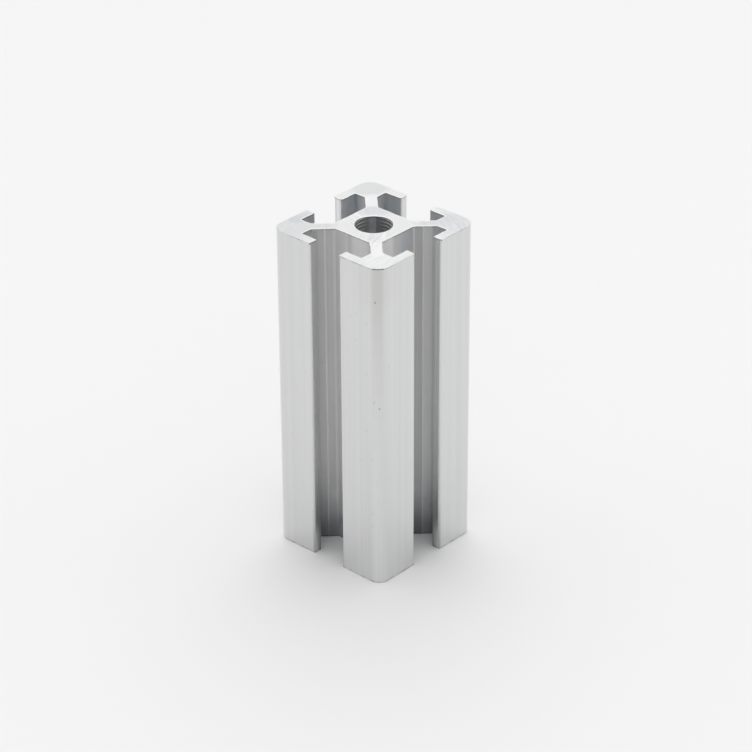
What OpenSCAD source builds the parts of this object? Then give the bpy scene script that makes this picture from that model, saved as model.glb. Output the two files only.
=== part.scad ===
// Aluminium T-slot profile: a short cut length, standing on one sawn end.
// The section is square, with a slot in each side, webs on the diagonals and a bored square core.
// Sizes are in millimetres. The bar's axis is Z, and the origin is the middle of its lower end.

/* [Bar] */
// Width of the section across its flat sides
side = 30; // [27:0.5:45]
// Cut length of the bar
length = 75; // [20:5:600]
// Radius of the four long outer edges
corner_r = 2.8; // [0.5:0.1:4]

/* [Slots] */
// Width of each slot's opening, between its two lips
slot_w = 8.1; // [6:0.1:10]
// Thickness of the lips
lip_t = 2.2; // [1.6:0.1:3]
// Width of the undercut behind the lips
cavity_w = 16.5; // [14:0.1:18]
// Radius of the corners inside the undercut
cavity_r = 0.6; // [0.2:0.05:1]
// Radius of the lips' edges on the outer face
lip_edge_r = 0.6; // [0.2:0.05:0.9]
// Radius of the lips' edges inside the slot
lip_back_r = 0.3; // [0.1:0.05:0.6]

/* [Core] */
// Width of the square core on the axis
core_w = 13.2; // [11.5:0.1:15]
// Thickness of the diagonal webs
web_t = 2.6; // [1.8:0.1:3.4]
// Diameter of the bore through the core
bore_d = 7.8; // [4:0.1:10]

/* [Hidden] */
$fn = 96;

// How far a cutting shape runs past the surface that it opens
overrun = 1;
// How far an inside arc runs past the slanted flat that it meets, so that the two cross and don't only touch
hair = 0.0002;
half_side = side / 2;
half_slot = slot_w / 2;
half_cavity = cavity_w / 2;
half_core = core_w / 2;
// A web stands at 45 degrees, so it moves each face beside it this far along X or Y
web_shift = web_t / sqrt(2);
// Distances from the axis to the back of the lips and to the end of the undercut's straight walls
lip_back_x = half_side - lip_t;
wall_end_x = half_cavity + web_shift;
// Half the width of the slot's floor, which is the part of the core's face between two webs
half_floor = half_core - web_shift;

// Unit vector from one point towards another
function heading(from, to) = (to - from) / norm(to - from);

// Half of the angle at corner b, between its neighbours a and c
function half_angle(a, b, c) = acos(heading(b, a) * heading(b, c)) / 2;

// Centre of the arc that rounds corner b
function arc_centre(a, b, c, r) =
    let (bisector = heading(b, a) + heading(b, c))
    b + bisector / norm(bisector) * r / sin(half_angle(a, b, c));

// The two points where that arc meets the sides
function arc_ends(a, b, c, r) =
    let (reach = r / tan(half_angle(a, b, c)))
    [b + heading(b, a) * reach, b + heading(b, c) * reach];

// Convex outline with every corner rounded to radius r
module rounded_outline(points, r) {
    n = len(points);
    corners = [for (i = [0 : n - 1]) [points[(i + n - 1) % n], points[i], points[(i + 1) % n]]];
    polygon([for (c = corners) each arc_ends(c[0], c[1], c[2], r)]);
    for (c = corners) translate(arc_centre(c[0], c[1], c[2], r)) circle(r + hair);
}

// Square on the axis with its corners rounded to radius r
module rounded_square(width, r) {
    flat = width - 2 * r;
    square([width, flat], center = true);
    square([flat, width], center = true);
    for (x = [-flat, flat] / 2, y = [-flat, flat] / 2) translate([x, y]) circle(r);
}

// What a quarter round of radius r takes off a square edge at the origin, in the +X +Y quadrant
module edge_waste(r) {
    difference() {
        square(r);
        translate([r, r]) circle(r);
    }
}

// Empty space of one slot, which opens towards +X
module slot_space() {
    rounded_outline([
        [lip_back_x, half_cavity],
        [wall_end_x, half_cavity],
        [half_core, half_floor],
        [half_core, -half_floor],
        [wall_end_x, -half_cavity],
        [lip_back_x, -half_cavity],
    ], cavity_r);
    translate([wall_end_x, -half_slot])
        square([half_side + overrun - wall_end_x, slot_w]);
    for (m = [0, 1]) mirror([0, m]) {
        translate([lip_back_x, half_slot]) edge_waste(lip_back_r);
        translate([half_side, half_slot]) mirror([1, 0]) edge_waste(lip_edge_r);
    }
}

// Full section of the bar, without the bore
module section() {
    difference() {
        rounded_square(side, corner_r);
        for (turn = [0 : 90 : 270]) rotate(turn) slot_space();
    }
}

// The whole bar: one extrusion, cut square at both ends
module profile_bar() {
    color("silver")
    difference() {
        linear_extrude(length) section();
        translate([0, 0, -overrun]) cylinder(d = bore_d, h = length + 2 * overrun);
    }
}

profile_bar();
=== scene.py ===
"""A short cut length of aluminium slot profile, standing on one sawn end on a pale floor."""

import logging
import math
from dataclasses import dataclass, field, fields, replace
from enum import Enum
from typing import Any, Optional, Sequence, Union

import bmesh
import bpy
from mathutils import Matrix, Vector


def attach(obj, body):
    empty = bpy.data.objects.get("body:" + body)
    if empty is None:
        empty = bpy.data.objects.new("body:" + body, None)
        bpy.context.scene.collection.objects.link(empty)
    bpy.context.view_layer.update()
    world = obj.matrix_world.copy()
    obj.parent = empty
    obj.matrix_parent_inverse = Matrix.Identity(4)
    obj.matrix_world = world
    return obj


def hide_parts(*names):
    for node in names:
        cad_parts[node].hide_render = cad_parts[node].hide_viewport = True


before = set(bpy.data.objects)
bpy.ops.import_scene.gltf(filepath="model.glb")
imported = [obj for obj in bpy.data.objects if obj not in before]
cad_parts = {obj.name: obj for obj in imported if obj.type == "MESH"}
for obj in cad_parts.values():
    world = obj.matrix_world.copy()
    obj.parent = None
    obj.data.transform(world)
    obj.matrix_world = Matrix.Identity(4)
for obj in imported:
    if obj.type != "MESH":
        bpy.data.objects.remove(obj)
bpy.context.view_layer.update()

log = logging.getLogger("profile")

MM = 0.001
UPPER_END = 75.0
BELOW, ABOVE = -2.0, 80.0
POINT_SHARES = ("lip_tip", "inner", "lip_end", "seam", "room")
SEAM_SHAPE = ((-0.5, 0.0), (-0.3, 0.55), (0.0, 1.0), (0.3, 0.55), (0.5, 0.0))

Socket = bpy.types.NodeSocket
Value = Union[Socket, float, int, bool, Sequence[float]]
Triple = tuple[float, float, float]

WHITE: Triple = (1.0, 1.0, 1.0)


class Zone(Enum):
    """Parts of the bar's skin that have a finish of their own."""

    SIDES = 0
    ENDS = 1
    BORE = 2

    @property
    def finish(self) -> str:
        """Returns the name of the tree's input for this zone's finish."""
        return f"{self.name.title()} Finish"


class Run(Enum):
    """Straight runs of the section's outline, from a long outer edge to the middle of a slot."""

    OUTER = "outer face"
    LIP_END = "end of a lip"
    LIP_BACK = "back of a lip"
    WALL = "wall of the undercut"
    WEB = "face of a web"
    CORE = "floor of a slot"


class Sheet:
    """Adds nodes to one tree and joins them."""

    def __init__(self, tree: bpy.types.NodeTree) -> None:
        """Keeps the tree that the nodes go into."""
        self.tree = tree

    def add(self, kind: str, inputs: Optional[dict] = None, **settings: Any) -> bpy.types.Node:
        """Adds one node.

        Args:
            kind: Blender's name for the node type.
            inputs: Values or sockets for its inputs, by name or by number.
            settings: Properties of the node itself.

        Returns:
            The new node.
        """
        node = self.tree.nodes.new(kind)
        for name, value in settings.items():
            setattr(node, name, value)
        for key, value in (inputs or {}).items():
            self.feed(node.inputs[key], value)
        return node

    def feed(self, socket: Socket, value: Value) -> None:
        """Joins a socket to another one, or sets its value.

        Args:
            socket: The input to fill.
            value: An output to join to it, or a plain value.
        """
        if isinstance(value, Socket):
            self.tree.links.new(value, socket)
        else:
            socket.default_value = value

    def math(self, operation: str, *values: Value, clamp: bool = False) -> Socket:
        """Adds a Math node.

        Args:
            operation: The node's operation.
            values: Up to three numbers or sockets.
            clamp: Whether the result is held between 0 and 1.

        Returns:
            The result's socket.
        """
        node = self.add("ShaderNodeMath", dict(enumerate(values)), operation=operation, use_clamp=clamp)
        return node.outputs[0]

    def times(self, first: Value, *others: Value) -> Socket:
        """Multiplies two or more numbers.

        Args:
            first: The first number.
            others: The others, in order.

        Returns:
            Their product.
        """
        for other in others:
            first = self.math("MULTIPLY", first, other)
        return first

    def plus(self, first: Value, second: Value) -> Socket:
        """Returns the sum of two numbers."""
        return self.math("ADD", first, second)

    def minus(self, first: Value, second: Value) -> Socket:
        """Returns the difference of two numbers."""
        return self.math("SUBTRACT", first, second)

    def linear(self, value: Value, gain: Value, base: Value) -> Socket:
        """Returns a number times a gain, plus a base."""
        return self.math("MULTIPLY_ADD", value, gain, base)

    def vector(self, operation: str, *values: Value) -> Socket:
        """Adds a Vector Math node that puts out a vector.

        Args:
            operation: The node's operation.
            values: Up to three vectors or sockets.

        Returns:
            The vector that results.
        """
        node = self.add("ShaderNodeVectorMath", dict(enumerate(values)), operation=operation)
        return node.outputs["Vector"]

    def measure(self, operation: str, *values: Value) -> Socket:
        """Adds a Vector Math node that puts out a number.

        Args:
            operation: The node's operation, such as a length or a dot product.
            values: Up to two vectors or sockets.

        Returns:
            The number that results.
        """
        node = self.add("ShaderNodeVectorMath", dict(enumerate(values)), operation=operation)
        return node.outputs["Value"]

    def scaled(self, vector: Value, scale: Value) -> Socket:
        """Returns a vector times a number."""
        node = self.add("ShaderNodeVectorMath", {"Vector": vector, "Scale": scale}, operation="SCALE")
        return node.outputs["Vector"]

    def capped(self, colour: Value) -> Socket:
        """Returns a colour with each part held to 1 at most."""
        return self.vector("MINIMUM", colour, WHITE)

    def joined(self, x: Value, y: Value, z: Value) -> Socket:
        """Returns a vector made from three numbers."""
        return self.add("ShaderNodeCombineXYZ", {"X": x, "Y": y, "Z": z}).outputs[0]

    def upright(self, z: Value) -> Socket:
        """Returns a vector along the bar."""
        return self.joined(0.0, 0.0, z)

    def split(self, vector: Value) -> Any:
        """Returns the sockets X, Y and Z of a vector, by name."""
        return self.add("ShaderNodeSeparateXYZ", {"Vector": vector}).outputs

    def mix(self, share: Value, low: Value, high: Value) -> Socket:
        """Returns the number that lies that share of the way from low to high."""
        return self.add("ShaderNodeMix", {0: share, 2: low, 3: high}, data_type="FLOAT").outputs[0]

    def blend(self, share: Value, low: Value, high: Value) -> Socket:
        """Returns the vector that lies that share of the way from low to high."""
        return self.add("ShaderNodeMix", {0: share, 4: low, 5: high}, data_type="VECTOR").outputs[1]

    def ramp(self, value: Value, low: Value, high: Value, start: Value = 0.0, end: Value = 1.0,
             smooth: bool = False) -> Socket:
        """Maps a number from one range to another and holds it there.

        Args:
            value: The number.
            low: Where the first range starts.
            high: Where the first range ends.
            start: What low becomes.
            end: What high becomes.
            smooth: Whether the step is eased at both ends.

        Returns:
            The mapped number's socket.
        """
        node = self.add("ShaderNodeMapRange", {"Value": value, "From Min": low, "From Max": high,
                                               "To Min": start, "To Max": end},
                        interpolation_type="SMOOTHSTEP" if smooth else "LINEAR")
        return node.outputs[0]

    def noise(self, place: Value, scale: Value, detail: float = 2.0, rough: float = 0.5) -> Socket:
        """Adds a Noise Texture.

        Args:
            place: The coordinates that it reads.
            scale: Its scale.
            detail: Its number of octaves.
            rough: How strong the finer octaves are.

        Returns:
            The noise value's socket, from 0 to 1.
        """
        node = self.add("ShaderNodeTexNoise", {"Vector": place, "Scale": scale, "Detail": detail,
                                               "Roughness": rough})
        return node.outputs[0]

    def swing(self, place: Value, scale: Value, detail: float = 2.0, rough: float = 0.5) -> Socket:
        """Returns the same noise, moved to lie round 0."""
        return self.minus(self.noise(place, scale, detail, rough), 0.5)

    def here(self) -> Socket:
        """Returns the object coordinates, for a material."""
        return self.add("ShaderNodeTexCoord").outputs["Object"]

    def skin(self, name: str) -> Socket:
        """Returns a number that the mesh carries, for a material."""
        return self.add("ShaderNodeAttribute", attribute_name=name).outputs["Fac"]

    def named(self, name: str, kind: str = "FLOAT") -> Socket:
        """Returns an attribute by name, for a geometry tree."""
        return self.add("GeometryNodeInputNamedAttribute", {"Name": name}, data_type=kind).outputs[0]

    def stored(self, part: Value, name: str, value: Value, kind: str = "FLOAT", domain: str = "POINT",
               where: Value = True) -> Socket:
        """Stores an attribute on a part of a geometry tree.

        Args:
            part: The part.
            name: The attribute's name.
            value: Its value.
            kind: Its type.
            domain: What carries it.
            where: Which points or faces get it.

        Returns:
            The part with the attribute.
        """
        given = {"Geometry": part, "Selection": where, "Name": name, "Value": value}
        return self.add("GeometryNodeStoreNamedAttribute", given, data_type=kind, domain=domain).outputs[0]


@dataclass(frozen=True)
class SectionCorner:
    """One corner of the section before it is rounded, and the run that leaves it."""

    place: Vector
    radius: float
    steps: int
    after: Run
    lip_tip: bool = False


@dataclass(frozen=True)
class OutlinePoint:
    """One point of the section's outline: its place and outward direction, and some shares from 0 to 1.

    They say how far the point belongs to a lip's tip, to the slots, to a lip's end and to a die seam, and
    how much room a sawn edge has there.
    """

    place: Vector
    out: Vector
    lip_tip: float = 0.0
    inner: float = 0.0
    lip_end: float = 0.0
    seam: float = 0.0
    room: float = 1.0


@dataclass
class ProfileSection:
    """The bar's square section, with a slot in each side and webs on the diagonals, in metres.

    Lip fade and lip blend say how the finish of a lip's end gives way inwards and round its edges.
    """

    side: float = 30 * MM
    corner_r: float = 2.8 * MM
    slot_w: float = 8.1 * MM
    lip_t: float = 2.2 * MM
    cavity_w: float = 16.5 * MM
    cavity_r: float = 0.6 * MM
    undercut_r: float = 0.25 * MM
    lip_edge_r: float = 0.6 * MM
    lip_back_r: float = 0.3 * MM
    core_w: float = 13.2 * MM
    web_t: float = 2.6 * MM
    step: float = 0.4 * MM
    roomy_r: float = 0.72 * MM
    lip_fade: float = 0.6
    lip_blend: float = 0.4
    seam_at: float = 0.58
    seam_w: float = 0.42 * MM
    seam_h: float = 0.07 * MM
    seam_clear: float = 0.75

    def quarter(self) -> list[SectionCorner]:
        """Lists the corners of one quarter, round the slot that opens to +X.

        Returns:
            The corners from one long outer edge to the next.
        """
        half, slot, cave, core = self.side / 2, self.slot_w / 2, self.cavity_w / 2, self.core_w / 2
        shift = self.web_t / math.sqrt(2)
        back, wall, floor = half - self.lip_t, cave + shift, core - shift
        lower = [
            SectionCorner(Vector((half, -half)), self.corner_r, 14, Run.OUTER),
            SectionCorner(Vector((half, -slot)), self.lip_edge_r, 8, Run.LIP_END, True),
            SectionCorner(Vector((back, -slot)), self.lip_back_r, 5, Run.LIP_BACK),
            SectionCorner(Vector((back, -cave)), self.undercut_r, 6, Run.WALL),
            SectionCorner(Vector((wall, -cave)), self.cavity_r, 5, Run.WEB),
            SectionCorner(Vector((core, -floor)), self.cavity_r, 5, Run.CORE),
        ]
        runs_back = [corner.after for corner in reversed(lower[:-1])]
        upper = [replace(corner, place=Vector((corner.place.x, -corner.place.y)), after=run)
                 for corner, run in zip(reversed(lower[1:]), runs_back)]
        return lower + upper

    def corners(self) -> list[SectionCorner]:
        """Returns the corners of all four quarters, anticlockwise."""
        spins = [Matrix.Rotation(turn * math.pi / 2, 2) for turn in range(4)]
        return [replace(corner, place=spin @ corner.place) for spin in spins for corner in self.quarter()]

    def arc(self, before: SectionCorner, corner: SectionCorner, after: Vector) -> list[OutlinePoint]:
        """Rounds one corner.

        Args:
            before: The corner before it.
            corner: The corner itself.
            after: The place of the corner after it.

        Returns:
            The arc's points, in order.
        """
        to_a, to_c = (before.place - corner.place).normalized(), (after - corner.place).normalized()
        half = math.acos(max(-1.0, min(1.0, to_a.dot(to_c)))) / 2
        centre = corner.place + (to_a + to_c).normalized() * corner.radius / math.sin(half)
        reach = corner.radius / math.tan(half)
        start = (corner.place + to_a * reach - centre).normalized()
        end = (corner.place + to_c * reach - centre).normalized()
        turn = math.atan2(start.x * end.y - start.y * end.x, start.dot(end))
        sense = 1.0 if turn > 0 else -1.0
        room = min(1.0, corner.radius / self.roomy_r) if turn > 0 else 1.0
        points = []
        for i in range(corner.steps + 1):
            share = i / corner.steps
            ray = Matrix.Rotation(turn * share, 2) @ start
            inner = (1 - share) * (before.after is not Run.OUTER) + share * (corner.after is not Run.OUTER)
            lip_end = max(0.0, 1 - share / self.lip_blend) * (before.after is Run.LIP_END)
            lip_end += max(0.0, 1 - (1 - share) / self.lip_blend) * (corner.after is Run.LIP_END)
            lip_end *= 1.0 if corner.lip_tip else 1 - self.lip_fade
            tip = self.tip_room(abs(turn) * share) if corner.lip_tip else 0.0
            points.append(OutlinePoint(centre + ray * corner.radius, ray * sense, tip, inner, lip_end,
                                       room=room))
        return points

    def tip_room(self, angle: float) -> float:
        """Returns the room between a right-angled round and its square corner, as a share of the most."""
        return (1 / max(math.cos(angle), math.sin(angle)) - 1) / (math.sqrt(2) - 1)

    def flat(self, start: Vector, end: Vector, run: Run) -> list[OutlinePoint]:
        """Divides one straight run between two arcs, without its end points.

        Args:
            start: Where the run starts.
            end: Where it ends.
            run: Which run it is. A web's face carries a die seam.

        Returns:
            The points between, in order.
        """
        along = end - start
        size = along.length
        heading = along / size
        out = Vector((heading.y, -heading.x))
        inwards = start.length > end.length
        count = max(1, math.ceil(size / self.step))
        marks = [(size * i / count, 0.0) for i in range(1, count)]
        if run is Run.WEB:
            middle = size * (self.seam_at if inwards else 1 - self.seam_at)
            marks = [mark for mark in marks if abs(mark[0] - middle) > self.seam_clear * self.seam_w]
            marks += [(middle + share * self.seam_w, height) for share, height in SEAM_SHAPE]
        inner = float(run is not Run.OUTER)
        points = []
        for d, h in sorted(marks):
            depth = d / size if inwards else 1 - d / size
            lip_end = (1 - self.lip_fade * depth) * (run is Run.LIP_END)
            place = start + heading * d + out * (h * self.seam_h)
            points.append(OutlinePoint(place, out, 0.0, inner, lip_end, h))
        return points

    def outline(self) -> list[OutlinePoint]:
        """Rounds all corners and divides the runs between them.

        Returns:
            The whole outline, anticlockwise, without the bore.
        """
        corners = self.corners()
        count = len(corners)
        arcs = [self.arc(corners[i - 1], corners[i], corners[(i + 1) % count].place) for i in range(count)]
        points = []
        for i, corner in enumerate(corners):
            points += arcs[i]
            points += self.flat(arcs[i][-1].place, arcs[(i + 1) % count][0].place, corner.after)
        return points

    def loop(self) -> bpy.types.Mesh:
        """Makes the outline's mesh.

        Returns:
            A mesh of edges that carries each point's direction and shares.
        """
        points = self.outline()
        count = len(points)
        mesh = bpy.data.meshes.new("section_outline")
        mesh.from_pydata([(p.place.x, p.place.y, 0.0) for p in points],
                         [(i, (i + 1) % count) for i in range(count)], [])
        out = mesh.attributes.new("out_direction", "FLOAT_VECTOR", "POINT")
        out.data.foreach_set("vector", [c for p in points for c in (p.out.x, p.out.y, 0.0)])
        for name in POINT_SHARES:
            mesh.attributes.new(name, "FLOAT", "POINT").data.foreach_set(
                "value", [getattr(p, name) for p in points])
        return mesh


@dataclass(frozen=True)
class EdgeRows:
    """Fields of a wall's grid by its rows, counted from the nearer sawn end.

    Upper is 1 in the upper half. Turn goes from 0 to 1 round the broken edge, strip is 1 on the row that
    lies on the sawn face, and past counts the rows beyond the edge.
    """

    upper: Value
    turn: Value
    strip: Value
    past: Value


@dataclass(frozen=True)
class EdgeGrain:
    """How the noise along the sawn edges is set: scales per metre, ranges and limits."""

    seed_step: float = 0.37
    octaves: float = 3.0
    rough: float = 0.6
    wander_scale: float = 900.0
    wander_gain: float = 4.0
    least: float = 0.2
    most: float = 2.0
    lump_scale: float = 260.0
    lump_range: tuple[float, float] = (0.3, 0.6)
    ragged_scale: float = 620.0
    ragged_from: float = 0.5
    # the gaps in the painted burr shadow line, and its strength in the slots
    gap_scale: float = 330.0
    gap_range: tuple[float, float] = (0.4, 0.6)
    slot_burr_shadow: float = 0.8


class BarNodes(Sheet):
    """The nodes that draw a section into a bar: its sides, its bore and its two flat ends.

    Ring sides says from where to where, across the bore, the rings grow to their full depth. The rows of
    the bore's wall are close together at its mouths: bore ease is the power and the share of that spread.
    """

    RING_SIDES = (0.3, 0.75)
    BORE_EASE = (6.0, 0.8)
    MERGE = 2e-6
    ARRIS_FROM = 0.2

    def __init__(self, tree: bpy.types.GeometryNodeTree) -> None:
        """Starts from the tree's inputs."""
        super().__init__(tree)
        self.size = self.add("NodeGroupInput").outputs
        self.outline = self.size["Section"]
        self.grain = EdgeGrain()

    def fill(self) -> None:
        """Adds all the nodes, and gives each zone its finish."""
        body = self.together(self.walls(), self.bore(), self.ends())
        merged = self.add("GeometryNodeMergeByDistance", {"Geometry": body, "Distance": self.MERGE})
        body = self.add("GeometryNodeRealizeInstances", {"Geometry": merged.outputs[0]}).outputs[0]
        for zone in Zone:
            found = self.add("FunctionNodeCompare", {2: self.named("zone", "INT"), 3: zone.value},
                             data_type="INT", operation="EQUAL").outputs[0]
            body = self.add("GeometryNodeSetMaterial", {
                "Geometry": body, "Selection": found, "Material": self.size[zone.finish]}).outputs[0]
        self.feed(self.add("NodeGroupOutput").inputs[0], body)

    def together(self, *parts: Value) -> Socket:
        """Joins parts.

        Args:
            parts: The parts, in order.

        Returns:
            All of them as one.
        """
        joint = self.add("GeometryNodeJoinGeometry")
        for part in parts:
            self.feed(joint.inputs[0], part)
        return joint.outputs[0]

    def grid(self, columns: Value, rows: Value) -> tuple[Socket, Socket, Socket]:
        """Adds a plain grid to bend into a wall.

        Args:
            columns: The number of columns.
            rows: The number of rows.

        Returns:
            The grid, and each point's column and row.
        """
        grid = self.add("GeometryNodeMeshGrid", {"Vertices X": columns, "Vertices Y": rows})
        index = self.add("GeometryNodeInputIndex").outputs[0]
        column = self.math("FLOOR", self.math("DIVIDE", self.plus(index, 0.25), rows))
        return grid.outputs[0], column, self.minus(index, self.times(column, rows))

    def edge_rows(self, row: Value, rows: Value) -> EdgeRows:
        """Works out where each row of a wall lies.

        Args:
            row: Each point's row.
            rows: The number of rows.

        Returns:
            The fields by row.
        """
        last = self.minus(rows, 1.0)
        near = self.math("MINIMUM", row, self.minus(last, row))
        upper = self.math("GREATER_THAN", row, self.times(last, 0.5))
        turn = self.math("DIVIDE", self.minus(near, 1.0), self.size["Break Rows"], clamp=True)
        past = self.minus(near, self.plus(self.size["Break Rows"], 1.0))
        return EdgeRows(upper, turn, self.math("SUBTRACT", 1.0, near, clamp=True),
                        self.math("MAXIMUM", past, 0.0))

    def rounded(self, edge: EdgeRows, radius: Value, rim: Value) -> tuple[Socket, Socket]:
        """Rounds a sawn edge.

        Args:
            edge: The fields by row.
            radius: The edge's radius.
            rim: The width of the strip beside it on the sawn face.

        Returns:
            Each point's distance from the sawn face, and its distance behind the wall.
        """
        angle = self.times(edge.turn, math.pi / 2)
        rise = self.times(radius, self.minus(1.0, self.math("COSINE", angle)))
        inset = self.times(radius, self.minus(1.0, self.math("SINE", angle)))
        return rise, self.linear(edge.strip, rim, inset)

    def broken(self, ground: Value, inner: Value, room: Value, upper: Value) -> tuple[Socket, Socket]:
        """Works out the sawn edge, which wanders along its length.

        Args:
            ground: Each point's place on its sawn end.
            inner: How far it belongs to the slots.
            room: How much room the edge has.
            upper: Whether it is on the upper end.

        Returns:
            The edge's radius, and the width of the strip beside it.
        """
        size, grain = self.size, self.grain
        far = self.vector("ADD", ground, self.upright(self.times(size["Seed"], grain.seed_step)))
        swing = self.swing(far, grain.wander_scale, grain.octaves, grain.rough)
        share = self.linear(self.times(swing, grain.wander_gain), size["Edge Wander"], 1.0)
        held = self.math("MINIMUM", self.math("MAXIMUM", share, grain.least), grain.most)
        sawn = self.mix(inner, size["Outer Break"], size["Inner Break"])
        radius = self.times(self.mix(upper, size["Lower Break"], sawn), held, room)
        return radius, self.times(size["Rim Width"], room)

    def sampled(self, at: Value, name: str, kind: str = "FLOAT") -> Socket:
        """Reads the outline at each column of a wall.

        Args:
            at: The outline point of each column.
            name: The attribute's name.
            kind: Its type.

        Returns:
            Its value.
        """
        place = name == "position"
        value = self.add("GeometryNodeInputPosition").outputs[0] if place else self.named(name, kind)
        given = {"Geometry": self.outline, "Value": value, "Index": at}
        return self.add("GeometryNodeSampleIndex", given, data_type=kind, domain="POINT").outputs[0]

    def walls(self) -> Socket:
        """Adds the nodes of the drawn sides, with the broken edges of both ends.

        Returns:
            The sides.
        """
        size = self.size
        count = self.add("GeometryNodeAttributeDomainSize", {0: self.outline}).outputs["Point Count"]
        edge_rows = self.plus(self.plus(size["Break Rows"], size["Burr Rows"]), 1.0)
        rows = self.linear(edge_rows, 2.0, size["Middle Rows"])
        grid, column, row = self.grid(self.plus(count, 1.0), rows)
        at = self.math("FLOORED_MODULO", column, count)
        place = self.sampled(at, "position", "FLOAT_VECTOR")
        out = self.sampled(at, "out_direction", "FLOAT_VECTOR")
        shares = {name: self.sampled(at, name) for name in POINT_SHARES}
        edge = self.edge_rows(row, rows)
        ground = self.vector("ADD", place, self.upright(self.times(edge.upper, size["Length"])))
        rise, inset = self.rounded(edge, *self.broken(ground, shares["inner"], shares["room"], edge.upper))
        step = self.math("MINIMUM", edge.past, size["Burr Rows"])
        rise = self.linear(step, size["Burr Step"], rise)
        rest = self.minus(edge.past, size["Burr Rows"])
        share = self.math("DIVIDE", rest, self.times(size["Middle Rows"], 0.5), clamp=True)
        rise = self.mix(share, rise, self.times(size["Length"], 0.5))
        fade = self.minus(1.0, self.math("DIVIDE", step, size["Burr Rows"]))
        push = self.times(self.burrs(ground, shares), fade, self.minus(1.0, edge.strip))
        moved = self.vector("ADD", place, self.scaled(out, self.minus(push, inset)))
        part = self.set_wall(grid, moved, rise, edge)
        for name in ("inner", "lip_end", "seam"):
            part = self.stored(part, name, shares[name])
        # painted shadow: a dark line just under each sawn edge, below the burrs
        line = self.times(fade, edge.turn, self.burr_shadow_strength(ground, shares["inner"]))
        return self.marked(self.stored(part, "burr_shadow_line", line), edge, Zone.SIDES)

    def burrs(self, ground: Value, shares: dict[str, Socket]) -> Socket:
        """Works out how far burrs push the sawn edge out: at the lips' tips, and raggedly in the slots.

        Args:
            ground: Each point's place on its sawn end.
            shares: The outline's shares by name.

        Returns:
            The distance.
        """
        size, grain = self.size, self.grain
        lump = self.ramp(self.noise(ground, grain.lump_scale, 1.0), *grain.lump_range)
        tip = self.times(lump, size["Burr Height"], shares["lip_tip"])
        swing = self.swing(ground, grain.ragged_scale, 2.0, grain.rough)
        slot = self.times(self.ramp(shares["inner"], grain.ragged_from, 1.0),
                          self.minus(1.0, shares["lip_tip"]))
        return self.linear(self.times(swing, 2.0, size["Ragged Edge"]), slot, tip)

    def burr_shadow_strength(self, ground: Value, inner: Value) -> Socket:
        """Works out the painted shadow line that burrs cast under the sawn edges: broken outside, even in
        the slots.

        Args:
            ground: Each point's place on its sawn end.
            inner: How far it belongs to the slots.

        Returns:
            The painted shadow's strength.
        """
        grain = self.grain
        noise = self.noise(ground, grain.gap_scale, grain.octaves, grain.rough)
        return self.mix(inner, self.ramp(noise, *grain.gap_range), grain.slot_burr_shadow)

    def set_wall(self, grid: Value, place: Value, rise: Value, edge: EdgeRows) -> Socket:
        """Bends a grid into a wall.

        Args:
            grid: The plain grid.
            place: Each point's place in the section.
            rise: Its distance from the nearer sawn end.
            edge: The fields by row.

        Returns:
            The wall.
        """
        height = self.mix(edge.upper, rise, self.minus(self.size["Length"], rise))
        final = self.vector("ADD", place, self.upright(height))
        return self.add("GeometryNodeSetPosition", {"Geometry": grid, "Position": final}).outputs[0]

    def marked(self, part: Value, edge: EdgeRows, zone: Zone) -> Socket:
        """Marks a wall's faces as one zone, and those of its broken edges as sawn ends.

        Args:
            part: The wall.
            edge: The fields by row.
            zone: The zone.

        Returns:
            The marked wall, with its edges as the attribute arris.
        """
        bend = self.times(self.minus(1.0, edge.turn), self.minus(1.0, edge.strip))
        body = self.stored(self.stored(part, "arris", bend), "zone", zone.value, "INT", "FACE")
        turned = self.math("GREATER_THAN", self.named("arris"), self.ARRIS_FROM)
        return self.stored(body, "zone", Zone.ENDS.value, "INT", "FACE", turned)

    def bore(self) -> Socket:
        """Adds the nodes of the bore's wall, with fine rings inside both mouths.

        Returns:
            The bore's wall.
        """
        size = self.size
        rows = size["Bore Rows"]
        grid, column, row = self.grid(self.plus(size["Bore Sides"], 1.0), rows)
        around = self.math("FLOORED_MODULO", column, size["Bore Sides"])
        angle = self.math("DIVIDE", self.times(around, 2 * math.pi), size["Bore Sides"])
        edge = self.edge_rows(row, rows)
        rise, inset = self.rounded(edge, size["Inner Break"], size["Rim Width"])
        most = self.minus(self.times(self.minus(rows, 1.0), 0.5), self.plus(size["Break Rows"], 1.0))
        share = self.math("DIVIDE", edge.past, most, clamp=True)
        power, spread = self.BORE_EASE
        eased = self.linear(self.math("POWER", share, power), spread, self.times(share, 1 - spread))
        rise = self.mix(eased, rise, self.times(size["Length"], 0.5))
        phase = self.math("DIVIDE", self.times(rise, math.pi), size["Ring Pitch"])
        wave = self.math("ABSOLUTE", self.math("COSINE", phase))
        fade = self.math("SUBTRACT", 1.0, self.math("DIVIDE", rise, size["Ring Reach"]), clamp=True)
        side = self.math("ABSOLUTE", self.math("COSINE", self.minus(angle, size["Ring Turn"])))
        fade = self.times(fade, self.ramp(side, *self.RING_SIDES), edge.turn)
        inset = self.linear(self.times(wave, size["Ring Depth"]), fade, inset)
        # painted highlight: how far each point lies on a ring's crest, which the bore's finish whitens
        crest = self.times(self.math("POWER", self.minus(1.0, wave), 2.0), fade)
        ray = self.joined(self.math("COSINE", angle), self.math("SINE", angle), 0.0)
        place = self.scaled(ray, self.plus(size["Bore Radius"], inset))
        wall = self.stored(self.set_wall(grid, place, rise, edge), "inner", 1.0)
        return self.marked(self.stored(wall, "crest", crest), edge, Zone.BORE)

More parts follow.
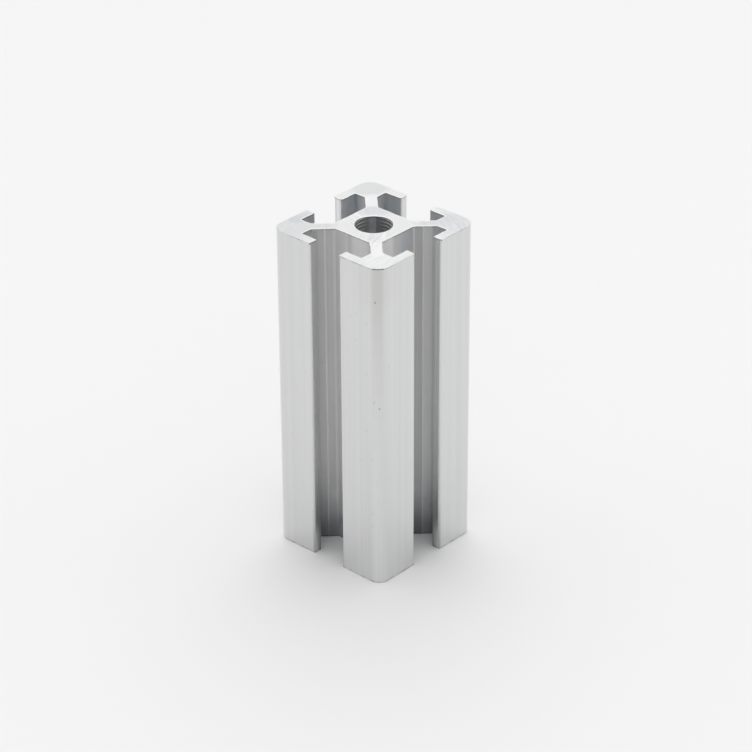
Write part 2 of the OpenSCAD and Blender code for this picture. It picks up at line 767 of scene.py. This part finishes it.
    def ends(self) -> Socket:
        """Adds the nodes of the two flat ends, between the outline and the bore.

        Returns:
            Both ends.
        """
        size = self.size
        reach = self.plus(size["Bore Radius"], self.plus(size["Inner Break"], size["Rim Width"]))
        parts = []
        for upper in (0.0, 1.0):
            lift = self.upright(self.times(size["Length"], upper))
            ground = self.vector("ADD", self.add("GeometryNodeInputPosition").outputs[0], lift)
            edge, rim = self.broken(ground, self.named("inner"), self.named("room"), upper)
            back = self.times(self.plus(edge, rim), -1.0)
            shift = self.scaled(self.named("out_direction", "FLOAT_VECTOR"), back)
            border = self.add("GeometryNodeSetPosition", {"Geometry": self.outline, "Offset": shift})
            mouth = self.add("GeometryNodeMeshCircle", {"Vertices": size["Bore Sides"], "Radius": reach})
            both = self.together(border.outputs[0], mouth.outputs[0])
            curve = self.add("GeometryNodeMeshToCurve", {"Mesh": both}).outputs[0]
            filled = self.add("GeometryNodeFillCurve", {"Curve": curve}).outputs[0]
            lifted = self.add("GeometryNodeTransform", {"Geometry": filled, "Translation": lift})
            parts.append(lifted.outputs[0])
        return self.stored(self.together(*parts), "zone", Zone.ENDS.value, "INT", "FACE")


@dataclass
class BarSweep:
    """The rule that draws the section into a bar, breaks its sawn edges and bores it."""

    length: float = 75 * MM
    outer_break: float = 0.05 * MM
    inner_break: float = 0.12 * MM
    lower_break: float = 0.2 * MM
    rim_width: float = 0.4 * MM
    edge_wander: float = 0.4
    burr_height: float = 0.2 * MM
    ragged_edge: float = 0.14 * MM
    burr_step: float = 0.09 * MM
    bore_radius: float = 3.9 * MM
    ring_pitch: float = 0.8 * MM
    ring_depth: float = 0.14 * MM
    ring_reach: float = 9 * MM
    ring_turn: float = math.radians(42.4)
    seed: int = 7
    break_rows: int = 4
    burr_rows: int = 4
    middle_rows: int = 12
    bore_sides: int = 120
    bore_rows: int = 240

    def sizes(self) -> dict[str, Union[int, float]]:
        """Returns the sizes by the names of the tree's inputs."""
        return {size.name.replace("_", " ").title(): getattr(self, size.name) for size in fields(self)}

    def tree(self) -> bpy.types.GeometryNodeTree:
        """Builds the tree that turns a section outline into the whole bar.

        Returns:
            The tree, with a named input for each size.
        """
        tree = bpy.data.node_groups.new("drawn bar", "GeometryNodeTree")
        face = tree.interface
        face.new_socket("Section", in_out="INPUT", socket_type="NodeSocketGeometry")
        for name, value in self.sizes().items():
            kind = "NodeSocketInt" if isinstance(value, int) else "NodeSocketFloat"
            face.new_socket(name, in_out="INPUT", socket_type=kind).default_value = value
        for zone in Zone:
            face.new_socket(zone.finish, in_out="INPUT", socket_type="NodeSocketMaterial")
        face.new_socket("Bar", in_out="OUTPUT", socket_type="NodeSocketGeometry")
        BarNodes(tree).fill()
        return tree


@dataclass(frozen=True)
class Mark:
    """One mark on the metal: a line in millimetres, its reach, and what it does to the colour there.

    Full is the share of the reach in which it has its whole strength.
    """

    start: Triple
    end: Triple
    reach: float
    full: float
    gain: Triple


def tint(parts: Sequence[float]) -> Triple:
    """Returns a change of colour from its three parts, or from one for all three."""
    return tuple(parts) if len(parts) == 3 else (parts[0],) * 3


def strip(x: float, y: float, reach: float, full: float, *gain: float) -> Mark:
    """Returns a mark along the whole bar, at one place of its section."""
    return Mark((x, y, BELOW), (x, y, ABOVE), reach, full, tint(gain))


def upper_end_mark(start: tuple[float, float], end: tuple[float, float], reach: float, full: float,
          *gain: float) -> Mark:
    """Returns a mark on the upper sawn end."""
    return Mark((*start, UPPER_END), (*end, UPPER_END), reach, full, tint(gain))


class MarkGroup:
    """The group of one mark, which every finish of the bar uses."""

    def __init__(self) -> None:
        """Builds the group, whose mark fades away from a line between two places."""
        self.tree = bpy.data.node_groups.new("one mark", "ShaderNodeTree")
        face = self.tree.interface
        for name in ("Start", "End"):
            face.new_socket(name, in_out="INPUT", socket_type="NodeSocketVector")
        for name in ("Reach", "Full"):
            face.new_socket(name, in_out="INPUT", socket_type="NodeSocketFloat")
        face.new_socket("Mark", in_out="OUTPUT", socket_type="NodeSocketFloat")
        sheet = Sheet(self.tree)
        given = sheet.add("NodeGroupInput").outputs
        ahead = sheet.vector("SUBTRACT", sheet.here(), given["Start"])
        line = sheet.vector("SUBTRACT", given["End"], given["Start"])
        share = sheet.math("DIVIDE", sheet.measure("DOT_PRODUCT", ahead, line),
                           sheet.measure("DOT_PRODUCT", line, line), clamp=True)
        off = sheet.measure("LENGTH", sheet.vector("SUBTRACT", ahead, sheet.scaled(line, share)))
        full = sheet.times(given["Reach"], given["Full"])
        sheet.add("NodeGroupOutput", {"Mark": sheet.ramp(off, full, given["Reach"], 1.0, 0.0, True)})

    def put(self, sheet: Sheet, tone: Value, marks: Sequence[Mark]) -> Value:
        """Puts marks on a finish.

        Args:
            sheet: The sheet of the finish.
            tone: The factor of its colour, or the colour itself.
            marks: The marks.

        Returns:
            The same with the marks.
        """
        for mark in marks:
            node = sheet.add("ShaderNodeGroup", {
                "Start": tuple(c * MM for c in mark.start), "End": tuple(c * MM for c in mark.end),
                "Reach": mark.reach * MM, "Full": mark.full}, node_tree=self.tree)
            change = sheet.vector("MULTIPLY_ADD", node.outputs["Mark"], mark.gain, WHITE)
            tone = sheet.vector("MULTIPLY", tone, change)
        return tone


def new_material(name: str, metallic: float = 1.0) -> tuple[bpy.types.Material, Sheet, Any]:
    """Starts a material.

    Args:
        name: The material's name.
        metallic: 1 for metal, and 0 for anything else.

    Returns:
        The material, a sheet for its nodes, and the inputs of its Principled BSDF.
    """
    material = bpy.data.materials.new(name)
    material.use_nodes = True
    inputs = material.node_tree.nodes["Principled BSDF"].inputs
    inputs["Metallic"].default_value = metallic
    return material, Sheet(material.node_tree), inputs


RELIEF_UNIT = 0.1 * MM
# painted shadow: a dark line under the front corner's upper edge, below the burr
FRONT_BURR_SHADOW: tuple[Mark, ...] = (
    Mark((13.1, -14.85, 74.9), (14.11, -14.25, 74.92), 0.17, 0.5, tint((-0.6,))),
    Mark((14.11, -14.25, 74.92), (14.75, -13.35, 74.9), 0.17, 0.5, tint((-0.6,))),
)
# painted shadows: dark spots on the sides just under two lips' tips, below their burrs
TIP_BURR_SHADOWS: tuple[Mark, ...] = (
    Mark((-4.12, -14.85, 74.7), (-4.05, -14.8, 74.62), 0.24, 0.4, tint((-0.65,))),
    Mark((14.9, 4.2, 74.74), (14.87, 4.15, 74.7), 0.2, 0.4, tint((-0.6,))),
)
# painted reflection: the front corner darker and warmer towards its top, with faint streaks running down
CORNER_DARK_REFLECTION: tuple[Mark, ...] = (
    Mark((13.95, -14.38, 79.0), (13.95, -14.38, 70.0), 8.0, 0.0, (-0.04, -0.04, -0.05)),
    *(Mark((13.95, -14.38, 76.0), (13.92, -14.40, low), 1.9, 0.2, (-0.017, -0.017, -0.019))
      for low in (63.0, 59.5, 56.0, 52.0, 47.0, 41.0, 34.0, 25.0)),
)
# painted light and shade in the slots and the back cavities: lighter and darker strips along the bar, shade
# beside the lips' edges, and lighter slot floors near the lower end
SLOT_LIGHT_AND_SHADE: tuple[Mark, ...] = (
    strip(7.45, 5.63, 0.95, 0.8, -0.20, -0.20, -0.19),
    strip(8.98, 7.16, 1.4, 0.8, 0.13),
    strip(-5.63, -7.45, 0.95, 0.8, -0.07),
    strip(-2.8, -6.6, 1.9, 0.75, 0.24),
    strip(-4.5, -6.65, 0.8, 0.3, 0.12),
    Mark((-3.6, -6.6, BELOW), (-3.6, -6.6, 10.0), 4.0, 0.3, (0.2, 0.2, 0.22)),
    Mark((6.6, 5.0, BELOW), (6.6, 5.0, 10.0), 4.0, 0.3, (0.1, 0.1, 0.12)),
    strip(2.4, -6.6, 3.6, 0.4, 0.18),
    strip(6.6, -3.8, 3.4, 0.4, 0.21),
    strip(6.6, 2.2, 2.6, 0.4, -0.03, 0.0, 0.035),
    strip(-4.05, -13.1, 0.7, 0.4, -0.18, -0.18, -0.17),
    Mark((-4.05, -13.5, BELOW), (-4.05, -14.2, ABOVE), 0.6, 0.4, (-0.12, -0.12, -0.11)),
    strip(-7.6, -9.45, 0.6, 0.3, -0.10),
    strip(13.0, 4.05, 0.7, 0.4, -0.16),
    Mark((13.7, 4.05, BELOW), (14.4, 4.05, ABOVE), 0.6, 0.4, tint((-0.08,))),
    strip(9.7, 7.85, 0.6, 0.4, -0.14),
    strip(-12.8, -6.2, 2.2, 0.8, -0.09, -0.05, -0.02),
    strip(6.2, 12.8, 2.2, 0.8, -0.07, -0.03, 0.0),
    strip(-12.8, 6.3, 2.2, 0.8, -0.05, -0.005, 0.03),
    strip(-12.8, 8.25, 0.6, 0.3, -0.15, -0.13, -0.12),
    strip(-10.9, 8.25, 1.4, 0.7, 0.11, 0.13, 0.15),
    strip(-6.3, 12.8, 2.2, 0.8, -0.05, -0.005, 0.03),
    strip(-8.25, 12.8, 0.6, 0.3, -0.15, -0.13, -0.12),
    strip(-8.25, 10.9, 1.4, 0.7, 0.04, 0.06, 0.08),
    strip(-14.8, 4.05, 0.9, 0.5, -0.12, -0.12, -0.11),
    strip(-13.5, 4.05, 0.75, 0.5, 0.08, 0.08, 0.09),
    strip(-4.05, 14.8, 0.9, 0.5, -0.08, -0.08, -0.07),
    strip(-4.05, 13.5, 0.75, 0.5, 0.05, 0.05, 0.06),
)
SMALL_DOTS: tuple[Mark, ...] = (
    Mark((13.60, -14.63, 67.45), (13.60, -14.63, 67.3), 0.22, 0.4, tint((-0.45,))),
    Mark((13.30, -14.77, 44.04), (13.35, -14.75, 43.9), 0.24, 0.2, tint((-0.22,))),
    Mark((14.23, -14.13, 42.7), (14.23, -14.13, 42.6), 0.22, 0.4, tint((-0.45,))),
    Mark((15.0, -12.03, 52.1), (15.0, -12.03, 52.0), 0.2, 0.2, tint((-0.22,))),
    Mark((11.44, -15.0, 62.1), (11.44, -15.0, 61.9), 0.2, 0.2, tint((-0.22,))),
)


@dataclass(frozen=True)
class SatinSides:
    """The satin skin of the drawn sides, with lines along the bar that are stronger in the slots.

    Painted shade darkens the slots and turns them bluer near the lower end; a lip's end keeps part of its
    tone: lip clear is that part.
    """

    face: Triple = (0.835, 0.838, 0.841)
    slot: Triple = (0.844, 0.845, 0.846)
    # painted shade: the darker, bluer colour of the slots at the lower end
    foot: Triple = (0.80, 0.845, 0.885)
    lip: Triple = (0.885, 0.888, 0.891)
    fine_lines: Triple = (2400.0, 2400.0, 9.0)
    broad_lines: Triple = (620.0, 620.0, 9.0)
    fine_share: float = 0.45
    line_depth: float = 0.09
    slot_depth: float = 0.16
    seam_gain: float = 0.42
    # how strongly the painted burr shadow line darkens the sides
    burr_shadow_gain: float = 0.5
    # how far up the painted shade in the slots reaches, and how dark it is at the bottom
    painted_shade_reach: float = 14 * MM
    painted_shade_share: float = 0.4
    lip_clear: float = 0.6
    speck_scale: float = 700.0
    speck_size: tuple[float, float] = (0.12, 0.34)
    speck_share: float = 0.1
    speck_gain: float = 0.05
    roughness: float = 0.40
    lip_roughness: float = 0.27
    rough_swing: float = 0.12
    streak: float = 1.0
    bump: float = 0.05
    # painted burr shadows, the painted reflection on the front corner and painted light and shade in the
    # slots, then real pits
    marks: tuple[Mark, ...] = FRONT_BURR_SHADOW + TIP_BURR_SHADOWS + CORNER_DARK_REFLECTION + SLOT_LIGHT_AND_SHADE + SMALL_DOTS

    def specks(self, sheet: Sheet, place: Value) -> Socket:
        """Adds small scattered pits.

        Args:
            sheet: The sheet of the finish.
            place: The object coordinates.

        Returns:
            Where they are, from 0 to 1.
        """
        cells = sheet.add("ShaderNodeTexVoronoi", {"Vector": place, "Scale": self.speck_scale}).outputs
        chance = sheet.add("ShaderNodeSeparateColor", {0: cells["Color"]}).outputs[0]
        dot = sheet.ramp(cells["Distance"], *self.speck_size, 1.0, 0.0, True)
        return sheet.times(dot, sheet.math("LESS_THAN", chance, self.speck_share))

    def material(self, group: MarkGroup) -> bpy.types.Material:
        """Builds the material.

        Args:
            group: The group of one mark.

        Returns:
            The finished material.
        """
        material, sheet, shader = new_material("satin aluminium")
        shader["Anisotropic"].default_value = self.streak
        place = sheet.here()
        fine = sheet.noise(sheet.vector("MULTIPLY", place, self.fine_lines), 1.0)
        broad = sheet.noise(sheet.vector("MULTIPLY", place, self.broad_lines), 1.0, 1.0)
        inner, lip_end = sheet.skin("inner"), sheet.skin("lip_end")
        # painted shade: the slots get darker and bluer towards the lower end
        foot = sheet.ramp(sheet.split(place)["Z"], 0.0, self.painted_shade_reach, self.painted_shade_share, 1.0, True)
        slot = sheet.blend(foot, self.foot, self.slot)
        colour = sheet.blend(lip_end, sheet.blend(inner, self.face, slot), self.lip)
        tone = sheet.linear(fine, self.fine_share, sheet.times(broad, 1 - self.fine_share))
        depth = sheet.mix(inner, 2 * self.line_depth, 2 * self.slot_depth)
        share = sheet.linear(sheet.minus(tone, 0.5), depth, 1.0)
        share = sheet.linear(self.specks(sheet, place), -self.speck_gain, share)
        # the weight of that painted shade, held back on the lips' ends
        foot_shade_weight = sheet.linear(lip_end, -self.lip_clear, inner)
        # the painted burr shadow line darkens the sides just under the sawn edges
        share = sheet.times(share, sheet.mix(foot_shade_weight, 1.0, foot),
                            sheet.linear(sheet.skin("seam"), self.seam_gain, 1.0),
                            sheet.linear(sheet.skin("burr_shadow_line"), -self.burr_shadow_gain, 1.0))
        metal = sheet.vector("MULTIPLY", colour, group.put(sheet, share, self.marks))
        sheet.feed(shader["Base Color"], sheet.capped(metal))
        rough = sheet.mix(lip_end, self.roughness, self.lip_roughness)
        sheet.feed(shader["Roughness"], sheet.linear(sheet.minus(fine, 0.5), self.rough_swing, rough))
        relief = {"Strength": self.bump, "Distance": RELIEF_UNIT, "Height": fine}
        sheet.feed(shader["Normal"], sheet.add("ShaderNodeBump", relief).outputs[0])
        return material


@dataclass(frozen=True)
class SawSet:
    """One set of saw marks: the middle of its area and its reach in millimetres, and its heading.

    Bow bends the marks: it is one over their radius, in millimetres. Depth is how strong they are. Scale
    is how fine they are across, along and down the bar.
    """

    middle: tuple[float, float]
    reach: float
    heading: float
    bow: float
    depth: float
    scale: Triple = (2200.0, 220.0, 40.0)
    full: float = 0.5

    def tone(self, sheet: Sheet, place: Value) -> Socket:
        """Adds the marks' nodes.

        Args:
            sheet: The sheet of the finish.
            place: The object coordinates.

        Returns:
            The change of tone that the marks make.
        """
        off = sheet.split(sheet.vector("SUBTRACT", place, (self.middle[0] * MM, self.middle[1] * MM, 0.0)))
        turn = math.radians(self.heading)
        along = sheet.linear(off["X"], math.cos(turn), sheet.times(off["Y"], math.sin(turn)))
        across = sheet.linear(off["Y"], math.cos(turn), sheet.times(off["X"], -math.sin(turn)))
        bent = sheet.plus(across, sheet.times(along, along, self.bow / (2 * MM)))
        spot = sheet.joined(sheet.times(bent, self.scale[0]), sheet.times(along, self.scale[1]),
                            sheet.linear(off["Z"], self.scale[2], self.heading))
        away = sheet.measure("LENGTH", sheet.joined(off["X"], off["Y"], 0.0))
        here = sheet.ramp(away, self.reach * self.full * MM, self.reach * MM, self.depth, 0.0, True)
        return sheet.times(sheet.swing(spot, 1.0, 3.0, 0.6), here)


@dataclass(frozen=True)
class SawnEnds:
    """The bright sawn ends, with the blade's marks and a painted highlight along the edges of the slots and
    the bore.
    """

    colour: Triple = (0.90, 0.905, 0.905)
    # painted highlight: the colour that the broken edges of the slots and the bore blend to
    edge: Triple = WHITE
    roughness: float = 0.36
    rough_swing: float = 0.4
    bump: float = 0.1
    saws: tuple[SawSet, ...] = (
        SawSet((-10.5, -10.5), 10.0, 115.0, 0.0, 0.28),
        SawSet((9.0, -9.0), 10.0, 95.0, 0.02, 0.36),
        SawSet((10.5, 10.5), 10.0, 158.0, -0.05, 0.50),
        SawSet((-10.0, 10.0), 10.0, 105.0, 0.0, 0.25),
        SawSet((4.0, -4.0), 6.0, 112.0, 0.0, 0.55),
        SawSet((-4.0, 0.5), 6.0, 165.0, 0.0, 0.55),
    )
    # painted shadows: dark lines along the front corner's upper edge and along both edges of the front web
    edges: tuple[Mark, ...] = FRONT_BURR_SHADOW + (
        upper_end_mark((6.2, -8.0), (8.1, -9.95), 0.28, 0.4, -0.35),
        upper_end_mark((8.0, -6.2), (9.95, -8.1), 0.2, 0.4, -0.25),
    )
    # painted light and shade on the upper end: broad darker patches on the left, right and back blocks,
    # lighter ones on the front block, and a few lighter and darker lines and patches near the core
    marks: tuple[Mark, ...] = (
        upper_end_mark((-11.5, -11.5), (-9.5, -9.5), 7.6, 0.4, -0.125, -0.11, -0.10),
        upper_end_mark((-13.6, -8.6), (-13.6, -5.2), 2.4, 0.5, -0.10, -0.09, -0.08),
        upper_end_mark((11.5, 11.5), (10.0, 10.0), 6.6, 0.4, -0.125, -0.115, -0.095),
        upper_end_mark((-13.0, 13.0), (-12.3, 12.3), 5.2, 0.5, -0.10, -0.09, -0.09),
        upper_end_mark((-5.0, 4.4), (-3.0, 6.0), 3.2, 0.3, -0.13, -0.11, -0.09),
        upper_end_mark((8.5, -8.5), (13.0, -13.0), 4.5, 0.3, 0.03),
        upper_end_mark((7.0, -7.0), (9.2, -9.2), 1.9, 0.7, 0.07),
        upper_end_mark((-6.9, 6.9), (-9.0, 9.0), 1.9, 0.7, 0.08, 0.08, 0.09),
        upper_end_mark((-6.56, 1.26), (-4.29, 0.79), 0.3, 0.4, 0.12),
        upper_end_mark((5.3, -5.7), (4.6, -3.6), 0.22, 0.2, -0.15, -0.15, -0.14),
        upper_end_mark((4.2, -5.9), (3.9, -4.4), 0.3, 0.2, -0.08, -0.08, -0.07),
        upper_end_mark((4.0, -5.2), (3.0, -3.6), 1.4, 0.2, -0.05, -0.05, -0.04),
        upper_end_mark((4.79, -2.16), (6.91, -4.50), 0.5, 0.3, 0.06),
    )

    def material(self, group: MarkGroup) -> bpy.types.Material:
        """Builds the material.

        Args:
            group: The group of one mark.

        Returns:
            The finished material.
        """
        material, sheet, shader = new_material("sawn aluminium")
        place = sheet.here()
        tone: Value = 0.0
        for saw in self.saws:
            tone = sheet.plus(tone, saw.tone(sheet, place))
        metal = sheet.vector("MULTIPLY", self.colour, group.put(sheet, sheet.plus(tone, 1.0), self.marks))
        # painted highlight on the broken edges of the slots and the bore
        painted_edge_highlight = sheet.times(sheet.skin("arris"), sheet.skin("inner"))
        metal = group.put(sheet, sheet.blend(painted_edge_highlight, metal, self.edge), self.edges)
        sheet.feed(shader["Base Color"], sheet.capped(metal))
        sheet.feed(shader["Roughness"], sheet.linear(tone, self.rough_swing, self.roughness))
        relief = {"Strength": self.bump, "Distance": RELIEF_UNIT, "Height": tone}
        sheet.feed(shader["Normal"], sheet.add("ShaderNodeBump", relief).outputs[0])
        return material


@dataclass(frozen=True)
class BoredWall:
    """The machined wall of the bore, with the tool's rings, painted shade towards its two mouths and
    painted highlights on the rings' crests.
    """

    colour: Triple = (0.86, 0.873, 0.886)
    # painted highlight: the colour that the rings' crests blend to
    crest: Triple = WHITE
    roughness: float = 0.55
    ring_scale: Triple = (90.0, 90.0, 3000.0)
    ring_depth: float = 0.2
    # painted shade: darker towards each mouth, and darker still right at the rim
    mouth_shade_share: float = 0.58
    mouth_shade_reach: float = 4.5 * MM
    rim_shade_share: float = 0.3
    rim_shade_reach: float = 0.5 * MM
    middle: float = 37.5 * MM
    # painted shade: two dark bands down the upper part of the bore, on either side of its far wall
    marks: tuple[Mark, ...] = (
        Mark((-3.88, -0.34, 78.0), (-3.88, -0.34, 60.0), 3.0, 0.7, tint((-0.30,))),
        Mark((-0.54, 3.86, 78.0), (-0.54, 3.86, 60.0), 1.9, 0.92, (-0.36, -0.36, -0.35)),
    )

    def material(self, group: MarkGroup) -> bpy.types.Material:
        """Builds the material.

        Args:
            group: The group of one mark.

        Returns:
            The finished material.
        """
        material, sheet, shader = new_material("bored aluminium")
        place = sheet.here()
        rings = sheet.swing(sheet.vector("MULTIPLY", place, self.ring_scale), 1.0, 3.0, 0.6)
        # painted shade towards both mouths and at the rims
        height = sheet.minus(sheet.split(place)["Z"], self.middle)
        depth = sheet.minus(self.middle, sheet.math("ABSOLUTE", height))
        share = sheet.times(sheet.linear(rings, self.ring_depth, 1.0),
                            sheet.ramp(depth, 0.0, self.mouth_shade_reach, self.mouth_shade_share, 1.0),
                            sheet.ramp(depth, 0.0, self.rim_shade_reach, self.rim_shade_share, 1.0))
        metal = sheet.vector("MULTIPLY", self.colour, group.put(sheet, share, self.marks))
        # painted highlight on the rings' crests
        sheet.feed(shader["Base Color"], sheet.blend(sheet.skin("crest"), metal, self.crest))
        shader["Roughness"].default_value = self.roughness
        return material


@dataclass
class ProfileBar:
    """The bar itself: one drawn length with sawn ends and a bore."""

    section: ProfileSection = field(default_factory=ProfileSection)
    sweep: BarSweep = field(default_factory=BarSweep)
    sides: SatinSides = field(default_factory=SatinSides)
    ends: SawnEnds = field(default_factory=SawnEnds)
    bore: BoredWall = field(default_factory=BoredWall)

    def build(self) -> bpy.types.Object:
        """Draws the section into a bar and dresses it.

        Returns:
            The bar as a plain mesh object.
        """
        group = MarkGroup()
        values: dict[str, Any] = dict(self.sweep.sizes())
        for zone, finish in ((Zone.SIDES, self.sides), (Zone.ENDS, self.ends), (Zone.BORE, self.bore)):
            values[zone.finish] = finish.material(group)
        maker = bpy.data.objects.new("section_outline", self.section.loop())
        bpy.context.scene.collection.objects.link(maker)
        drawn = maker.modifiers.new("drawn bar", "NODES")
        drawn.node_group = self.sweep.tree()
        for item in drawn.node_group.interface.items_tree:
            if item.in_out == "INPUT" and item.name in values:
                drawn[item.identifier] = values[item.name]
        depsgraph = bpy.context.evaluated_depsgraph_get()
        mesh = bpy.data.meshes.new_from_object(maker.evaluated_get(depsgraph), depsgraph=depsgraph)
        mesh.name = "drawn_bar"
        maker.modifiers.remove(drawn)
        bpy.data.objects.remove(maker)
        self.close(mesh)
        bar = bpy.data.objects.new("drawn_bar", mesh)
        bpy.context.scene.collection.objects.link(bar)
        even = bar.modifiers.new("even shading", "WEIGHTED_NORMAL")
        even.mode = "FACE_AREA"
        even.keep_sharp = True
        return bar

    def close(self, mesh: bpy.types.Mesh) -> None:
        """Turns the faces outwards and makes the skin smooth.

        Args:
            mesh: The bar's mesh.
        """
        work = bmesh.new()
        work.from_mesh(mesh)
        bmesh.ops.recalc_face_normals(work, faces=work.faces)
        open_edges = sum(1 for edge in work.edges if not edge.is_manifold)
        work.to_mesh(mesh)
        work.free()
        mesh.shade_smooth()
        triangles = sum(len(face.vertices) - 2 for face in mesh.polygons)
        log.info("bar: %d points, %d triangles, %d open edges", len(mesh.vertices), triangles, open_edges)


@dataclass
class PaleFloor:
    """The plain pale floor under the bar."""

    half: float = 3.0
    colour: Triple = (0.84, 0.84, 0.84)
    roughness: float = 0.9
    gloss: float = 0.1

    def build(self) -> bpy.types.Object:
        """Builds and dresses the floor.

        Returns:
            The floor.
        """
        mesh = bpy.data.meshes.new("floor")
        work = bmesh.new()
        bmesh.ops.create_grid(work, x_segments=2, y_segments=2, size=self.half)
        work.to_mesh(mesh)
        work.free()
        floor = bpy.data.objects.new("floor", mesh)
        bpy.context.scene.collection.objects.link(floor)
        material, _, shader = new_material("pale floor", 0.0)
        shader["Base Color"].default_value = (*self.colour, 1.0)
        shader["Roughness"].default_value = self.roughness
        shader["Specular IOR Level"].default_value = self.gloss
        mesh.materials.append(material)
        return floor


@dataclass
class TopLamp:
    """The square lamp above the bar, in metres and watts."""

    size: float = 0.5
    height: float = 0.45
    power: float = 0.06

    def build(self) -> bpy.types.Object:
        """Hangs the lamp above the bar.

        Returns:
            The lamp, which shines straight down.
        """
        data = bpy.data.lights.new("top lamp", "AREA")
        data.shape = "SQUARE"
        data.size = self.size
        data.energy = self.power
        lamp = bpy.data.objects.new("top lamp", data)
        lamp.location = (0.0, 0.0, self.height)
        bpy.context.scene.collection.objects.link(lamp)
        return lamp


@dataclass(frozen=True)
class SoftGlow:
    """One broad soft light in the surroundings: its place round the bar in degrees, strength and tightness.

    Turn 0 is the camera's side, 90 its right hand and 180 behind the bar.
    """

    turn: float
    height: float
    strength: float
    tightness: float = 10.0

    def heading(self, camera_turn: float) -> Vector:
        """Works out where the light is.

        Args:
            camera_turn: The camera's place round the bar.

        Returns:
            The direction from the bar towards the light.
        """
        turn, height = math.radians(camera_turn + self.turn), math.radians(self.height)
        flat = math.cos(height)
        return Vector((math.sin(turn) * flat, -math.cos(turn) * flat, math.sin(height)))


@dataclass
class SoftStudio:
    """The soft light round the bar, as a plain level and a few broad glows, and its pale background."""

    level: float = 0.60
    glows: tuple[SoftGlow, ...] = (
        SoftGlow(0, 90, 0.29, 8.0),
        SoftGlow(180, 25, 0.81),
        SoftGlow(180, 45, 0.40),
        SoftGlow(180, 65, 0.39),
        SoftGlow(-145, 35, 0.38),
        SoftGlow(145, 35, 0.53),
        SoftGlow(-100, 35, 0.44),
        SoftGlow(100, 35, 0.38),
        SoftGlow(50, 35, 0.16),
        SoftGlow(0, 30, 0.42),
    )
    camera_turn: float = 42.4
    background: float = 0.89

    def build(self) -> None:
        """Sets the scene's world, which the camera and the metal see as an even background."""
        world = bpy.data.worlds.new("soft studio")
        world.use_nodes = True
        bpy.context.scene.world = world
        sheet = Sheet(world.node_tree)
        shader = world.node_tree.nodes["Background"].inputs
        ray = sheet.add("ShaderNodeTexCoord").outputs["Generated"]
        level: Value = self.level
        for glow in self.glows:
            facing = sheet.measure("DOT_PRODUCT", ray, tuple(glow.heading(self.camera_turn)))
            fall = sheet.times(sheet.minus(facing, 1.0), glow.tightness)
            level = sheet.linear(sheet.math("EXPONENT", fall), glow.strength, level)
        path = sheet.add("ShaderNodeLightPath").outputs
        seen = sheet.math("MAXIMUM", path["Is Camera Ray"], path["Is Glossy Ray"])
        seen = sheet.math("MAXIMUM", seen, path["Is Transmission Ray"])
        sheet.feed(shader["Color"], (*WHITE, 1.0))
        sheet.feed(shader["Strength"], sheet.mix(seen, level, self.background))


@dataclass
class PhotoCamera:
    """The camera at the picture's own angle, with sizes in millimetres and degrees."""

    azimuth: float = 42.4252
    elevation: float = 29.4887
    roll: float = -0.3007
    distance: float = 635.05
    lens: float = 143.392
    sensor: float = 36.0
    nearest: float = 10.0
    farthest: float = 20000.0
    aim_height: float = 37.5
    shift_right: float = 0.2862
    shift_up: float = 1.4486

    def build(self) -> bpy.types.Object:
        """Sets up the camera.

        Returns:
            The camera, which the scene then uses.
        """
        azimuth, elevation, roll = (math.radians(v) for v in (self.azimuth, self.elevation, self.roll))
        back = Vector((math.sin(azimuth) * math.cos(elevation), -math.cos(azimuth) * math.cos(elevation),
                       math.sin(elevation)))
        level = Vector((math.cos(azimuth), math.sin(azimuth), 0.0))
        steep = back.cross(level)
        right = math.cos(roll) * level + math.sin(roll) * steep
        up = -math.sin(roll) * level + math.cos(roll) * steep
        aim = Vector((0.0, 0.0, self.aim_height)) + right * self.shift_right + up * self.shift_up
        data = bpy.data.cameras.new("photo camera")
        data.sensor_width = self.sensor
        data.lens = self.lens
        data.clip_start, data.clip_end = self.nearest * MM, self.farthest * MM
        camera = bpy.data.objects.new("photo camera", data)
        spin = Matrix((right, up, back)).transposed().to_4x4()
        camera.matrix_world = Matrix.Translation((aim + back * self.distance) * MM) @ spin
        bpy.context.scene.collection.objects.link(camera)
        bpy.context.scene.camera = camera
        return camera


def main() -> None:
    """Builds the camera, the light, the floor and the bar."""
    logging.basicConfig(level=logging.INFO, format="%(name)s: %(message)s")
    bpy.context.scene.view_settings.view_transform = "Standard"
    PhotoCamera().build()
    SoftStudio().build()
    TopLamp().build()
    PaleFloor().build()
    bar = ProfileBar().build()
    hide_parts("profile_bar")
    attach(bar, "root")
    log.info("made %s", bar.name)


if __name__ == "__main__":
    main()
